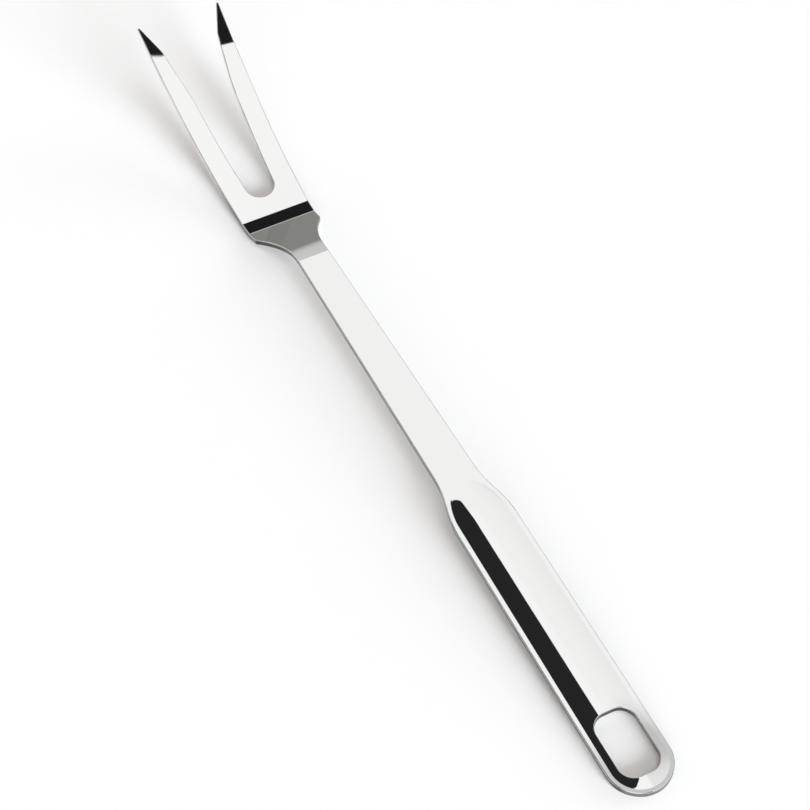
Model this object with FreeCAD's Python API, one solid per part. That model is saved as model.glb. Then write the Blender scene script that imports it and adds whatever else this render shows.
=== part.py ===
import FreeCAD, Part
import math
import os

# Meat fork, one piece of polished stainless sheet: a pressed handle with a
# hanging slot, a narrow neck, a crank down to the blade and two curved tines.
# Millimetres. +Y runs from the handle to the points, +Z is up, and the fork
# lies as it rests on a table, on the end of the handle and on the crank.

# Sheet, and the tumbled rounding of its rims
sheet = 2.0
edge_round = 0.25

# Lengths along the fork, which add up to 330
handle_length = 99.5
shoulder_length = 21.5
neck_length = 101.3
crank_length = 29.9
fork_length = 77.8

# Side line of the underside, slopes in degrees, positive rising to the points
handle_slope = 2.9
handle_bend_past_shoulder = 10.5
handle_bend_radius = 400.0
crest_before_neck_end = 1.8
crest_radius = 1.0
crest_slope = -5.0
crest_length = 5.1
riser_top_radius = 25.0
riser_slope = -20.0
heel_length = 6.4
heel_slope = -2.0
riser_foot_radius = 1.6
heel_radius = 3.0
blade_slope = 9.0
blade_length = 26.8
blade_curve_radius = 150.0
tine_slope = 23.9
point_length = 13.5
point_curve_radius = 150.0
point_slope = 28.5

# Plan, half widths from the middle line
end_radius = 10.4
shoulder_half = 10.15
neck_start_half = 6.8
neck_end_half = 5.6
flare_turn = 37.0
flare_radius = 30.0
heel_half = 12.6
heel_corner_radius = 1.2
point_half = 15.6
point_flat = 0.8

# Gap between the tines and the ground points
gap_setback = 7.3
gap_radius = 5.1
gap_splay = 3.7
taper_length = 28.0
taper_blend = 60.0
grind_length = 9.5
grind_half = 10.6
grind_blend = 5.0
under_grind_length = 7.5
point_thickness = 1.1

# Hanging slot
slot_centre = 16.4
slot_length = 21.8
slot_width = 13.3
slot_corner = 5.0

# Pressed crown of the handle
crown_half = 8.45
crown_height = 0.8
crown_near_extra = 0.1
crown_past_shoulder = 15.9
crown_stretch = 1.55

# How far the cutting forms run past the sheet
overrun = 3.0

# Places along the fork that follow from the lengths
neck_start = handle_length + shoulder_length
neck_end = neck_start + neck_length
heel_at = neck_end + crank_length
overall_length = heel_at + fork_length


def slope_rise(run, slope):
    return run * math.tan(math.radians(slope))


def stepped(corner, run, slope):
    return corner[0] + run, corner[1] + slope_rise(run, slope)


def vector_yz(along, up):
    return FreeCAD.Vector(0.0, along, up)


def vector_xy(across, along):
    return FreeCAD.Vector(across, along, 0.0)


def rounded_line(corners):
    # straight runs joined by tangent arcs, from corners given as (vector, radius)
    edges = []
    last = corners[0][0]
    for (before, _), (corner, radius), (after, _) in zip(corners, corners[1:], corners[2:]):
        way_in = (corner - before).normalize()
        way_out = (after - corner).normalize()
        half_turn = way_in.getAngle(way_out) / 2.0
        reach = radius * math.tan(half_turn)
        to_centre = (way_out - way_in).normalize()
        enter = corner - way_in * reach
        leave = corner + way_out * reach
        middle = corner + to_centre * (radius / math.cos(half_turn) - radius)
        edges.append(Part.makeLine(last, enter))
        edges.append(Part.Arc(enter, middle, leave).toShape())
        last = leave
    edges.append(Part.makeLine(last, corners[-1][0]))
    return edges


def closed_face(edges):
    return Part.Face(Part.Wire(Part.__sortEdges__(edges)))


def heel_bottom_drop():
    # the corner lies this far below the lowest point of the rounded heel
    half_turn = math.radians(blade_slope - heel_slope) / 2.0
    lean = math.radians(blade_slope + heel_slope) / 2.0
    return (heel_radius + sheet) * (math.cos(lean) / math.cos(half_turn) - 1.0)


def side_corners():
    # corners of the bent line, as (along, up), with the radius inside each bend
    heel = (heel_at, -heel_bottom_drop())
    foot = stepped(heel, -heel_length, heel_slope)
    crest_at = neck_end - crest_before_neck_end
    riser = stepped(foot, crest_at + crest_length - foot[0], riser_slope)
    crest = stepped(riser, -crest_length, crest_slope)
    handle = stepped((0.0, 0.0), handle_length + handle_bend_past_shoulder, handle_slope)
    blade = stepped(heel, blade_length, blade_slope)
    point = stepped(blade, overall_length - point_length - blade[0], tine_slope)
    tip = stepped(point, point_length + overrun, point_slope)
    start = stepped((0.0, 0.0), -overrun, handle_slope)
    return [
        (start, 0.0),
        (handle, handle_bend_radius),
        (crest, crest_radius),
        (riser, riser_top_radius),
        (foot, riser_foot_radius),
        (heel, heel_radius),
        (blade, blade_curve_radius),
        (point, point_curve_radius),
        (tip, 0.0),
    ]


def bent_line(over):
    # edges of the bent line, of the top of the sheet if over, else of its underside
    corners = side_corners()
    slopes = []
    for (a, _), (b, _) in zip(corners, corners[1:]):
        slopes.append(math.atan2(b[1] - a[1], b[0] - a[0]))
    slopes = slopes[:1] + slopes + slopes[-1:]
    points = []
    for (corner, radius), before, after in zip(corners, slopes, slopes[1:]):
        middle = (before + after) / 2.0
        reach = sheet / math.cos((after - before) / 2.0) if over else 0.0
        outside = (after < before) == over
        point = vector_yz(corner[0] - reach * math.sin(middle), corner[1] + reach * math.cos(middle))
        points.append((point, radius + sheet if outside else radius))
    return rounded_line(points)


def bent_sheet():
    under = bent_line(False)
    over = bent_line(True)
    start = Part.makeLine(under[0].Vertexes[0].Point, over[0].Vertexes[0].Point)
    end = Part.makeLine(under[-1].Vertexes[-1].Point, over[-1].Vertexes[-1].Point)
    half = point_half + overrun
    block = closed_face(under + over + [start, end]).extrude(FreeCAD.Vector(2.0 * half, 0.0, 0.0))
    block.translate(FreeCAD.Vector(-half, 0.0, 0.0))
    return block


def upright_block(edges):
    # a flat outline run up and down past the whole height of the fork
    corners = side_corners()
    low = corners[0][0][1] - overrun
    high = corners[-1][0][1] + sheet + overrun
    block = closed_face(edges).extrude(FreeCAD.Vector(0.0, 0.0, high - low))
    block.translate(FreeCAD.Vector(0.0, 0.0, low))
    return block


def shoulder_curve(mirror):
    # eased S from the handle to the neck
    handle_lean = (shoulder_half - end_radius) / (handle_length - end_radius)
    neck_lean = (neck_end_half - neck_start_half) / neck_length
    curve = Part.BSplineCurve()
    curve.interpolate(
        Points=[
            vector_xy(mirror * shoulder_half, handle_length),
            vector_xy(mirror * (shoulder_half + neck_start_half) / 2.0, (handle_length + neck_start) / 2.0),
            vector_xy(mirror * neck_start_half, neck_start),
        ],
        InitialTangent=vector_xy(mirror * handle_lean, 1.0),
        FinalTangent=vector_xy(mirror * neck_lean, 1.0),
    )
    return curve.toShape()


def heel_corner():
    # where the line of the flare meets the side of the blade, as (across, along)
    side_lean = (point_half - heel_half) / fork_length
    flare_lean = math.tan(math.radians(flare_turn))
    flare_across, flare_along = flare_start()
    run = heel_half - side_lean * (heel_at - flare_along) - flare_across
    run = run / (flare_lean - side_lean)
    return flare_across + run * flare_lean, flare_along + run


def flare_start():
    # corner between the side of the neck and the line of the flare
    reach = flare_radius * math.tan(math.radians(flare_turn) / 2.0)
    neck_lean = (neck_end_half - neck_start_half) / neck_length
    return neck_end_half + reach * neck_lean, neck_end + reach


def outline_side(mirror):
    # from the end of the handle along one side to the point
    handle_side = Part.makeLine(
        vector_xy(mirror * end_radius, end_radius), vector_xy(mirror * shoulder_half, handle_length)
    )
    flare = flare_start()
    heel = heel_corner()
    corners = [
        (vector_xy(mirror * neck_start_half, neck_start), 0.0),
        (vector_xy(mirror * flare[0], flare[1]), flare_radius),
        (vector_xy(mirror * heel[0], heel[1]), heel_corner_radius),
        (vector_xy(mirror * point_half, overall_length), 0.0),
    ]
    return [handle_side, shoulder_curve(mirror)] + rounded_line(corners)


def outline_block():
    end = Part.Arc(
        vector_xy(-end_radius, end_radius), vector_xy(0.0, 0.0), vector_xy(end_radius, end_radius)
    ).toShape()
    across = Part.makeLine(vector_xy(-point_half, overall_length), vector_xy(point_half, overall_length))
    return upright_block([end, across] + outline_side(1.0) + outline_side(-1.0))


def gap_side(mirror):
    # splayed side of the gap, then the ground inner side of the point
    splay = math.tan(math.radians(gap_splay))
    foot_across = gap_radius * math.cos(math.radians(gap_splay))
    foot_along = heel_at + gap_setback + gap_radius * (1.0 - math.sin(math.radians(gap_splay)))
    taper_at = overall_length - taper_length
    lean = (point_half - point_flat - grind_half) / grind_length
    corners = [
        (vector_xy(mirror * foot_across, foot_along), 0.0),
        (vector_xy(mirror * (foot_across + (taper_at - foot_along) * splay), taper_at), taper_blend),
        (vector_xy(mirror * grind_half, overall_length - grind_length), grind_blend),
        (vector_xy(mirror * (point_half - point_flat + lean * overrun), overall_length + overrun), 0.0),
    ]
    return rounded_line(corners)


def gap_block():
    right = gap_side(1.0)
    left = gap_side(-1.0)
    feet = left[0].Vertexes[0].Point, right[0].Vertexes[0].Point
    bottom = Part.Arc(feet[0], vector_xy(0.0, heel_at + gap_setback), feet[1]).toShape()
    mouth = Part.makeLine(right[-1].Vertexes[-1].Point, left[-1].Vertexes[-1].Point)
    return upright_block([bottom, mouth] + right + left)


def under_grind():
    # wedge taken off the underside, so the points thin out from the full sheet
    point = side_corners()[7][0]
    root = stepped(point, point_length - under_grind_length, point_slope)
    thinning = math.degrees(math.atan((sheet - point_thickness) / under_grind_length))
    far = stepped(root, under_grind_length + overrun, point_slope + thinning)
    low = root[1] - overrun
    side = [root, far, (far[0], low), (root[0], low)]
    corners = [FreeCAD.Vector(-point_half - overrun, along, up) for along, up in side]
    face = Part.Face(Part.makePolygon(corners + corners[:1]))
    return face.extrude(FreeCAD.Vector(2.0 * (point_half + overrun), 0.0, 0.0))


def slot_block():
    low = -overrun
    high = slope_rise(slot_centre + slot_length, handle_slope) + sheet + crown_height + overrun
    corner = FreeCAD.Vector(-slot_width / 2.0, slot_centre - slot_length / 2.0, low)
    box = Part.makeBox(slot_width, slot_length, high - low, corner)
    upright = [e for e in box.Edges if e.BoundBox.ZLength > (high - low) / 2.0]
    return box.makeFillet(slot_corner, upright)


def crown_radius():
    return (crown_half ** 2 + crown_height ** 2) / (2.0 * crown_height)


def crown_form(radius):
    # long round-backed form that lies along the handle, turned about its own
    # line, a little fuller at the slot, with a round end there and a longer,
    # easier end at the neck
    axis_up = sheet + crown_height - crown_radius()
    near = vector_yz(end_radius, axis_up)
    far = vector_yz(handle_length + crown_past_shoulder - crown_stretch * crown_half, axis_up)
    near_radius = radius + crown_near_extra
    near_top = near + vector_yz(0.0, near_radius)
    near_bend = near + vector_yz(-near_radius, near_radius) * math.sqrt(0.5)
    near_end = near - vector_yz(near_radius, 0.0)
    far_top = far + vector_yz(0.0, radius)
    far_end = far + vector_yz(radius * crown_stretch, 0.0)
    far_arc = Part.Edge(Part.Ellipse(far_end, far_top, far), 0.0, math.pi / 2.0)
    edges = [
        Part.Arc(near_end, near_bend, near_top).toShape(),
        Part.makeLine(near_top, far_top),
        far_arc,
        Part.makeLine(far_end, near_end),
    ]
    form = closed_face(edges).revolve(near, FreeCAD.Vector(0.0, 1.0, 0.0), 360.0)
    return laid_on_handle(form)


def laid_on_handle(shape):
    shape.rotate(FreeCAD.Vector(0.0, 0.0, 0.0), FreeCAD.Vector(1.0, 0.0, 0.0), handle_slope)
    return shape


def crown_cap(radius, low):
    # what the form has above a level of the handle, measured from its underside
    corner = FreeCAD.Vector(-point_half, -overrun, low)
    length = overall_length + 2.0 * overrun
    above = Part.makeBox(2.0 * point_half, length, crown_height + sheet, corner)
    return crown_form(radius).common(laid_on_handle(above))


def crown_over():
    # seated in the middle of the sheet
    return crown_cap(crown_radius(), sheet / 2.0)


def crown_under():
    # the hollow below the crown, at one sheet's distance from its top
    return crown_cap(crown_radius() - sheet, -sheet / 2.0)


def is_wall(face):
    u0, u1, v0, v1 = face.ParameterRange
    normal = face.normalAt((u0 + u1) / 2.0, (v0 + v1) / 2.0)
    return abs(normal.z) < 0.001


def rim_edges(solid):
    # upper and lower rims of every cut wall, without its upright corners
    chosen = []
    for face in solid.Faces:
        if is_wall(face):
            for edge in face.Edges:
                box = edge.BoundBox
                if max(box.XLength, box.YLength) > edge_round / 10.0:
                    chosen.append(edge)
    return chosen


def meat_fork():
    pressed = bent_sheet().fuse(crown_over()).removeSplitter().cut(crown_under())
    blank = pressed.common(outline_block())
    body = blank.cut([gap_block(), under_grind(), slot_block()])
    solid = body.Solids[0]
    solid = solid.makeFillet(edge_round, rim_edges(solid))
    solid.translate(FreeCAD.Vector(0.0, -overall_length / 2.0, 0.0))
    return solid


os.makedirs("parts", exist_ok=True)
meat_fork().exportStep("parts/meat_fork.step")
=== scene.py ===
import bpy
import math
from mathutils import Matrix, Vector

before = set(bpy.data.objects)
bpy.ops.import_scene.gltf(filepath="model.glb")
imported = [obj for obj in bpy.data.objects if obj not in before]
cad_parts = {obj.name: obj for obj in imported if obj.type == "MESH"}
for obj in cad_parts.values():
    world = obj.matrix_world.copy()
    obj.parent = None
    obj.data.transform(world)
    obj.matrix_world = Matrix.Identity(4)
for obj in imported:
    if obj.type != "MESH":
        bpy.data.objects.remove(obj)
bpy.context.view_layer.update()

# Camera: the fork is seen from above its handle end, a little to its left,
# with a long lens, as in the photograph. The picture is taken to be square.
camera_at = Vector((-0.19915, -0.39721, 0.54360))
camera_aim = Vector((0.00146, -0.00803, 0.0))
lens_mm = 96.56
sensor_mm = 36.0
camera_data = bpy.data.cameras.new("photo_camera")
camera_data.sensor_width = sensor_mm
camera_data.lens = lens_mm
camera = bpy.data.objects.new("photo_camera", camera_data)
camera.location = camera_at
camera.rotation_mode = "QUATERNION"
camera.rotation_quaternion = (camera_aim - camera_at).to_track_quat("-Z", "Y")
bpy.context.scene.collection.objects.link(camera)
bpy.context.scene.camera = camera
bpy.context.scene.view_settings.view_transform = "Standard"


# Studio: seen by the camera the surround is plain white. The polished steel
# mirrors a large soft box overhead, four black cards hung before it, and grey
# walls from the rim of the box down to the horizon.
class Nodes:
    # short ways to add the nodes of a material or of the studio's light
    def __init__(self, tree):
        self.tree = tree
        tree.nodes.clear()

    def add(self, kind, inputs=None, **settings):
        node = self.tree.nodes.new(kind)
        for name, value in settings.items():
            setattr(node, name, value)
        for name, value in (inputs or {}).items():
            self.feed(node.inputs[name], value)
        return node

    def feed(self, socket, value):
        if isinstance(value, bpy.types.NodeSocket):
            self.tree.links.new(value, socket)
        else:
            socket.default_value = value

    def math(self, operation, a, b=0.0):
        node = self.add("ShaderNodeMath", operation=operation)
        self.feed(node.inputs[0], a)
        self.feed(node.inputs[1], b)
        return node.outputs[0]

    def step(self, value, low, high, start=0.0, end=1.0):
        # smooth change from start to end while value goes from low to high
        node = self.add("ShaderNodeMapRange", interpolation_type="SMOOTHSTEP")
        node.inputs["From Min"].default_value = low
        node.inputs["From Max"].default_value = high
        node.inputs["To Min"].default_value = start
        node.inputs["To Max"].default_value = end
        self.feed(node.inputs["Value"], value)
        return node.outputs["Result"]

    def band(self, value, low, high, soft):
        # 1 between low and high, with soft edges
        rise = self.step(value, low - soft, low + soft)
        fall = self.step(value, high - soft, high + soft, 1.0, 0.0)
        return self.math("MULTIPLY", rise, fall)

    def grey(self, value):
        return self.add("ShaderNodeCombineColor", {0: value, 1: value, 2: value}).outputs[0]

    def mix(self, amount, a, b):
        node = self.add("ShaderNodeMix", data_type="RGBA")
        self.feed(node.inputs[0], amount)
        self.feed(node.inputs[6], a)
        self.feed(node.inputs[7], b)
        return node.outputs[2]


def grey(value):
    return (value, value, value, 1.0)


# a direction is told by its lean across and along the fork, over its height,
# and a pair gives the leans between which something lies or changes
least_height = 0.02
white = grey(1.0)

# the grey walls
dim_wall = (0.246, 0.248, 0.231, 1.0)
near_wall = grey(0.60)
near_wall_fades = (1.6, 3.4)
right_wall_fades = (0.90, 1.10)
pale_wall = grey(0.80)
pale_wall_fades = (2.2, 7.5)
pale_side_shift = 0.4
pale_side_ends = (-1.6, -0.5)

# the soft box and the stand that hides a part of it
box_rim = (1.08, 1.32)
box_right_fades = (0.35, 1.0)
box_right_light = 0.93
box_right_step = (0.27, 0.36)
box_far_step = (0.48, 0.60)
box_step_drop = 0.04
stand_slant = 0.2
stand_rises = (-0.10, 0.22)
stand_least, stand_most = 0.12, 0.36
stand_ends = (0.262, 0.292)
stand_left_side = (0.292, 0.345)

# the four black cards
card_black = grey(0.0125)
left_card_black = grey(0.019)
left_card_across = (-0.3, 0.203)
left_card_soft = 0.004
left_card_starts = (-0.02, 0.0)
left_card_end = 0.71
left_card_end_least = 0.56
left_card_end_middle = 0.12
left_card_end_roundness = 5.0
left_card_end_soft = 0.008
left_card_corner_slant = 1.1
left_card_corner = (0.118, 0.128)
far_left_across = (-1.4, -0.25)
far_left_along = (-0.3, 1.2)
far_left_soft = 0.04
front_card_slant = 1.25
front_card_slanted = (-1.0, -0.456)
front_card_across = (-0.2, 0.305)
front_card_soft = 0.005
front_card_ends = (-0.104, -0.094)
crank_card_along = (0.985, 1.10)
crank_card_along_soft = 0.008
crank_card_across = (0.3, 0.8)
crank_card_across_soft = 0.03

# the room's light is a little warm and the lamps a little cool, white together
room_tint = (1.15, 1.0, 0.91, 1.0)
room_strength = 0.327
# a ray's meetings are counted whole, so a half tells the counts apart
past_one_mirroring = 1.5
before_one_bounce = 0.5


def walls(n, across, along, reach):
    dim = n.math("MAXIMUM", n.step(reach, *near_wall_fades), n.step(across, *right_wall_fades))
    wall = n.mix(dim, near_wall, dim_wall)
    # the walls behind the camera and to its left are paler, and darken to the horizon
    pale = n.mix(n.step(reach, *pale_wall_fades), pale_wall, dim_wall)
    toward = n.math("MINIMUM", along, n.math("ADD", across, pale_side_shift))
    return n.mix(n.step(toward, *pale_side_ends), pale, wall)


def soft_box(n, across, along):
    # the soft box is brightest over its near left part
    past = n.math("MAXIMUM", n.step(across, *box_right_step), n.step(along, *box_far_step))
    light = n.step(across, *box_right_fades, 1.0, box_right_light)
    light = n.math("SUBTRACT", light, n.math("MULTIPLY", past, box_step_drop))
    # a stand dims the part of the box that the end of the handle mirrors
    level = n.math("SUBTRACT", along, n.math("MULTIPLY", across, stand_slant))
    stand = n.step(level, *stand_rises, stand_least, stand_most)
    stand = n.math("MULTIPLY", stand, n.step(level, *stand_ends, 1.0, 0.0))
    stand = n.math("MULTIPLY", stand, n.step(across, *stand_left_side))
    return n.math("MULTIPLY", light, n.math("SUBTRACT", 1.0, stand))


def left_card(n, across, along):
    # it draws the long black band on the crown, with a rounded far end
    card = n.band(across, *left_card_across, left_card_soft)
    card = n.math("MULTIPLY", card, n.step(along, *left_card_starts))
    off_middle = n.math("POWER", n.math("SUBTRACT", across, left_card_end_middle), 2.0)
    end = n.math("SUBTRACT", left_card_end, n.math("MULTIPLY", off_middle, left_card_end_roundness))
    past_end = n.math("SUBTRACT", along, n.math("MAXIMUM", end, left_card_end_least))
    card = n.math("MULTIPLY", card, n.step(past_end, -left_card_end_soft, left_card_end_soft, 1.0, 0.0))
    corner = n.math("SUBTRACT", across, n.math("MULTIPLY", along, left_card_corner_slant))
    return n.math("MULTIPLY", card, n.step(corner, *left_card_corner, 1.0, 0.0))


def other_cards(n, across, along):
    # one further out to the left, one in front that the points mirror, and one
    # beyond the fork that the heel facet of the crank mirrors
    far_left = n.band(across, *far_left_across, far_left_soft)
    far_left = n.math("MULTIPLY", far_left, n.band(along, *far_left_along, far_left_soft))
    slanted = n.math("SUBTRACT", along, n.math("MULTIPLY", across, front_card_slant))
    front = n.band(slanted, *front_card_slanted, front_card_soft)
    front = n.math("MULTIPLY", front, n.band(across, *front_card_across, front_card_soft))
    front = n.math("MULTIPLY", front, n.step(along, *front_card_ends, 1.0, 0.0))
    crank = n.band(along, *crank_card_along, crank_card_along_soft)
    crank = n.math("MULTIPLY", crank, n.band(across, *crank_card_across, crank_card_across_soft))
    return n.math("MAXIMUM", far_left, n.math("MAXIMUM", front, crank))


def build_studio():
    world = bpy.data.worlds.new("studio")
    bpy.context.scene.world = world
    world.use_nodes = True
    n = Nodes(world.node_tree)
    direction = n.add("ShaderNodeTexCoord").outputs["Generated"]
    axes = n.add("ShaderNodeSeparateXYZ", {0: direction})
    height = n.math("MAXIMUM", axes.outputs[2], least_height)
    across = n.math("DIVIDE", axes.outputs[0], height)
    along = n.math("DIVIDE", axes.outputs[1], height)
    reach = n.math("SQRT", n.math("ADD", n.math("POWER", across, 2.0), n.math("POWER", along, 2.0)))
    wall = walls(n, across, along, reach)
    open_box = n.mix(n.step(reach, *box_rim), n.grey(soft_box(n, across, along)), wall)
    band_card = left_card(n, across, along)
    cards = n.math("MAXIMUM", band_card, other_cards(n, across, along))
    once = n.mix(cards, open_box, n.mix(band_card, card_black, left_card_black))
    path = n.add("ShaderNodeLightPath")
    twice = n.math("GREATER_THAN", path.outputs["Glossy Depth"], past_one_mirroring)
    mirror_world = n.add("ShaderNodeBackground", {"Color": n.mix(twice, once, dim_wall)})
    plain_world = n.add("ShaderNodeBackground", {"Color": room_tint, "Strength": room_strength})
    camera_world = n.add("ShaderNodeBackground", {"Color": white})
    # what the steel throws back onto the floor is lit by the plain room
    first = n.math("LESS_THAN", path.outputs["Diffuse Depth"], before_one_bounce)
    mirrored = n.math("MULTIPLY", path.outputs["Is Glossy Ray"], first)
    glossy = n.add("ShaderNodeMixShader", {0: mirrored})
    n.feed(glossy.inputs[1], plain_world.outputs[0])
    n.feed(glossy.inputs[2], mirror_world.outputs[0])
    seen = n.add("ShaderNodeMixShader", {0: path.outputs["Is Camera Ray"]})
    n.feed(seen.inputs[1], glossy.outputs[0])
    n.feed(seen.inputs[2], camera_world.outputs[0])
    n.add("ShaderNodeOutputWorld", {"Surface": seen.outputs[0]})


build_studio()

# Lamps: three soft strips stand low, to the right, in front and at the front
# left, and a soft box hangs overhead. They light the table, where the fork's
# shadow lies, and aren't mirrored by the steel.
lamp_tint = (0.936, 1.0, 1.039)
lamp_spread = math.radians(30.0)


def add_lamp(name, from_direction, strength):
    lamp = bpy.data.lights.new(name, "SUN")
    lamp.energy = strength
    lamp.color = lamp_tint
    lamp.angle = lamp_spread
    holder = bpy.data.objects.new(name, lamp)
    holder.rotation_mode = "QUATERNION"
    holder.rotation_quaternion = Vector(from_direction).to_track_quat("Z", "Y")
    holder.visible_glossy = False
    bpy.context.scene.collection.objects.link(holder)


add_lamp("side_strip", (0.965, 0.046, 0.259), 1.03)
add_lamp("front_strip", (0.213, -0.942, 0.259), 4.81)
add_lamp("left_strip", (-0.442, -0.859, 0.259), 0.90)
add_lamp("top_box", (0.075, -0.334, 0.940), 0.69)

# Floor: a plain white table top with a faint grain, flat and level. The fork
# lies loose on it and throws its soft shadow there.
floor_half = 3.0
floor_greys = (0.918, 0.922)
floor_grain = 900.0
floor_grain_detail = 2.0


def build_floor():
    mesh = bpy.data.meshes.new("floor")
    half = floor_half
    corners = [(-half, -half, 0), (half, -half, 0), (half, half, 0), (-half, half, 0)]
    mesh.from_pydata(corners, [], [(0, 1, 2, 3)])
    floor = bpy.data.objects.new("floor", mesh)
    bpy.context.scene.collection.objects.link(floor)
    material = bpy.data.materials.new("table_white")
    material.use_nodes = True
    n = Nodes(material.node_tree)
    grain = n.add("ShaderNodeTexNoise", {"Scale": floor_grain, "Detail": floor_grain_detail})
    tone = n.mix(grain.outputs[0], grey(floor_greys[0]), grey(floor_greys[1]))
    matt = n.add("ShaderNodeBsdfDiffuse", {"Color": tone})
    n.add("ShaderNodeOutputMaterial", {"Surface": matt.outputs[0]})
    mesh.materials.append(material)


build_floor()

# Fork: one piece of stainless sheet, pressed, bent and tumbled, with mirror
# faces and faint polishing marks along it. The walls cut at its rims and in
# the slot are duller than the rolled faces; their darker colour is painted shade.
handle_end = -0.165

# sizes of the pressed crown, laid along the slope of the handle from its end
handle_slope = math.radians(2.9)
crown_half = 0.00845
crown_height = 0.0008
crown_radius = (crown_half ** 2 + crown_height ** 2) / (2.0 * crown_height)
crown_near_extra = 0.0001
crown_near = 0.0104
crown_far = 0.1023
crown_stretch = 1.55
top_faces_up = 0.965

# colour of the rolled faces, and painted shade on the cut walls by how they face and where they lie
steel_white = (0.905, 0.905, 0.898, 1.0)
cut_wall_upright = (0.15, 0.55)
# right-hand rims get the painted wall shade, a thin painted dark line
right_rim_facing = (0.05, 0.30)
right_rim_drop = 0.38
# painted shade of the cut walls, darkest where they face back along the handle
wall_facing = (-0.5, 0.2)
wall_grey_near, wall_grey_far = 0.09, 0.24
# painted light: the walls along the points are painted paler
points_paler_from = (0.09, 0.12)
points_painted_paler = 0.60
# painted light: the walls around the handle's end are painted paler
end_wall_run = (0.0035, 0.0055)
end_wall_paler = 0.15
cut_wall_rough = 0.25

# a faint cloud and fine lines in the polish, and shear marks on the cut walls
cloud_scale = 60.0
cloud_detail = 3.0
cloud_spread = (0.3, 0.7)
smooth, less_smooth = 0.008, 0.020
line_scale = (3200.0, 45.0, 3200.0)
line_spread = (0.62, 0.75)
line_rough = 0.02
line_depth = 0.00001
line_strength = 0.03
shear_scale = (2600.0, 2600.0, 120.0)
shear_depth = 0.00003
shear_strength = 0.6
mark_detail = 2.0


def crown_normal(n, place, mesh_normal):
    # the crown is shaded by its true curve, so that what it mirrors runs straight
    # over the small flat triangles of its mesh; elsewhere the mesh's normal is kept
    from_end = n.add("ShaderNodeVectorMath", {0: place, 1: (0.0, -handle_end, 0.0)}, operation="ADD")
    laid = n.add("ShaderNodeVectorRotate", {"Vector": from_end.outputs[0]}, rotation_type="X_AXIS")
    laid.inputs["Angle"].default_value = -handle_slope
    axes = n.add("ShaderNodeSeparateXYZ", {0: laid.outputs[0]})
    across, along = axes.outputs[0], axes.outputs[1]
    before = n.math("MINIMUM", n.math("SUBTRACT", along, crown_near), 0.0)
    beyond = n.math("MAXIMUM", n.math("SUBTRACT", along, crown_far), 0.0)
    taper = n.add("ShaderNodeMapRange", {"Value": along})
    taper.inputs["From Min"].default_value = crown_near
    taper.inputs["From Max"].default_value = crown_far
    taper.inputs["To Min"].default_value = crown_radius + crown_near_extra
    taper.inputs["To Max"].default_value = crown_radius
    radius = taper.outputs["Result"]
    run = n.math("ADD", before, n.math("DIVIDE", beyond, crown_stretch))
    flat = n.math("ADD", n.math("POWER", across, 2.0), n.math("POWER", run, 2.0))
    up = n.math("SQRT", n.math("SUBTRACT", n.math("POWER", radius, 2.0), flat))
    lean = n.math("ADD", before, n.math("DIVIDE", beyond, crown_stretch ** 2))
    round_top = n.add("ShaderNodeCombineXYZ", {0: across, 1: lean, 2: up})
    true = n.add("ShaderNodeVectorRotate", {"Vector": round_top.outputs[0]}, rotation_type="X_AXIS")
    true.inputs["Angle"].default_value = handle_slope
    unit = n.add("ShaderNodeVectorMath", {0: true.outputs[0]}, operation="NORMALIZE")
    on_crown = n.math("GREATER_THAN", up, crown_radius - crown_height)
    upright = n.add("ShaderNodeSeparateXYZ", {0: mesh_normal}).outputs[2]
    on_top = n.math("GREATER_THAN", upright, top_faces_up)
    choice = n.add("ShaderNodeMix", {0: n.math("MULTIPLY", on_crown, on_top)}, data_type="VECTOR")
    n.feed(choice.inputs[4], mesh_normal)
    n.feed(choice.inputs[5], unit.outputs[0])
    turned = n.add("ShaderNodeVectorTransform", {0: choice.outputs[1]}, vector_type="NORMAL")
    turned.convert_from = "OBJECT"
    turned.convert_to = "WORLD"
    return turned.outputs[0]


def stretched_noise(n, place, scale):
    stretched = n.add("ShaderNodeVectorMath", {0: place, 1: scale}, operation="MULTIPLY")
    noise = n.add("ShaderNodeTexNoise", {"Vector": stretched.outputs[0], "Scale": 1.0})
    noise.inputs["Detail"].default_value = mark_detail
    return noise.outputs[0]


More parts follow.
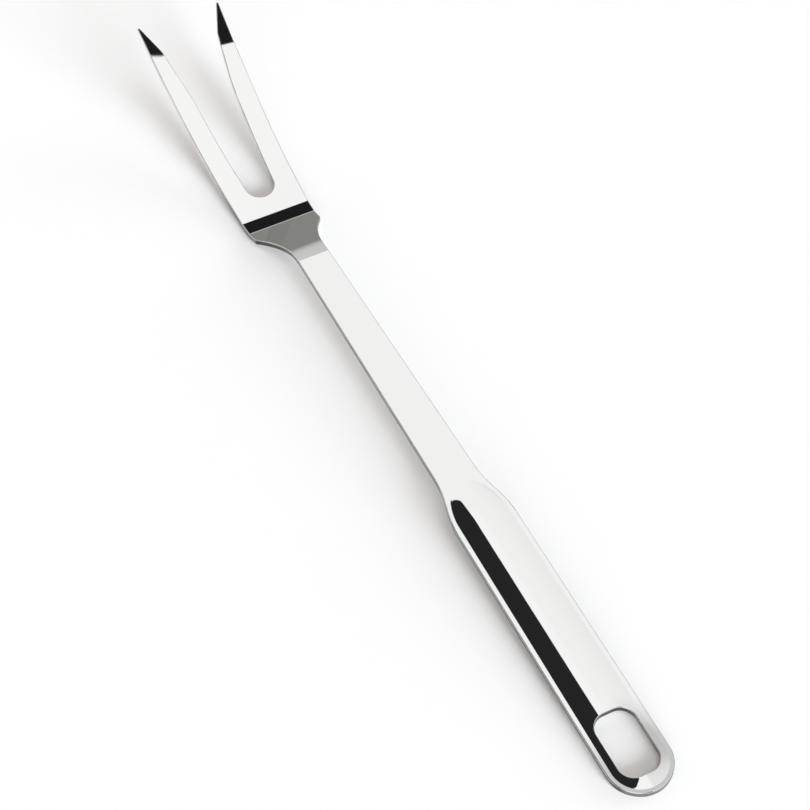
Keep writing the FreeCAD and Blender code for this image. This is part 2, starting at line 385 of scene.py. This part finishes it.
def cut_wall_painted_shade(n, facing, place):
    # painted shade: walls that face back along the handle are painted darker, and
    # those around its end and along the points are painted paler
    tone = n.step(facing.outputs[1], *wall_facing, wall_grey_near, wall_grey_far)
    along = n.add("ShaderNodeSeparateXYZ", {0: place}).outputs[1]
    # painted light: paler walls along the points
    paler_points = n.step(along, *points_paler_from, 0.0, points_painted_paler)
    from_end = n.math("SUBTRACT", along, handle_end)
    end_wall = n.step(from_end, *end_wall_run, end_wall_paler, 0.0)
    return n.math("ADD", n.math("ADD", tone, paler_points), end_wall)


def polished_steel():
    material = bpy.data.materials.new("polished_stainless")
    material.use_nodes = True
    n = Nodes(material.node_tree)
    coordinates = n.add("ShaderNodeTexCoord")
    place = coordinates.outputs["Object"]
    mesh_normal = coordinates.outputs["Normal"]
    facing = n.add("ShaderNodeSeparateXYZ", {0: mesh_normal})
    # the rounding of right-hand rims takes the painted wall shade too, and draws a thin painted dark line
    # there
    upright = n.math("ABSOLUTE", facing.outputs[2])
    upright = n.math("SUBTRACT", upright, n.step(facing.outputs[0], *right_rim_facing, 0.0, right_rim_drop))
    cut_wall = n.step(upright, *cut_wall_upright, 1.0, 0.0)
    # painted shade for the cut walls
    wall_painted_shade = n.grey(cut_wall_painted_shade(n, facing, place))
    cloud = n.add("ShaderNodeTexNoise", {"Vector": place, "Scale": cloud_scale, "Detail": cloud_detail})
    lines = stretched_noise(n, place, line_scale)
    shear = stretched_noise(n, place, shear_scale)
    rough = n.step(cloud.outputs[0], *cloud_spread, smooth, less_smooth)
    rough = n.math("ADD", rough, n.step(lines, *line_spread, 0.0, line_rough))
    rough = n.math("ADD", rough, n.math("MULTIPLY", cut_wall, cut_wall_rough))
    polish = n.add("ShaderNodeBump", {"Height": lines, "Normal": crown_normal(n, place, mesh_normal)})
    polish.inputs["Strength"].default_value = line_strength
    polish.inputs["Distance"].default_value = line_depth
    marks = n.add("ShaderNodeBump", {"Height": shear, "Normal": polish.outputs[0]})
    marks.inputs["Distance"].default_value = shear_depth
    n.feed(marks.inputs["Strength"], n.math("MULTIPLY", cut_wall, shear_strength))
    shader = n.add("ShaderNodeBsdfPrincipled", {"Metallic": 1.0, "Roughness": rough})
    # the cut walls take the painted shade as their colour
    n.feed(shader.inputs["Base Color"], n.mix(cut_wall, steel_white, wall_painted_shade))
    n.feed(shader.inputs["Normal"], marks.outputs[0])
    n.add("ShaderNodeOutputMaterial", {"Surface": shader.outputs[0]})
    return material


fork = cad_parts["meat_fork"]
steel = polished_steel()
for slot in fork.material_slots:
    slot.material = steel
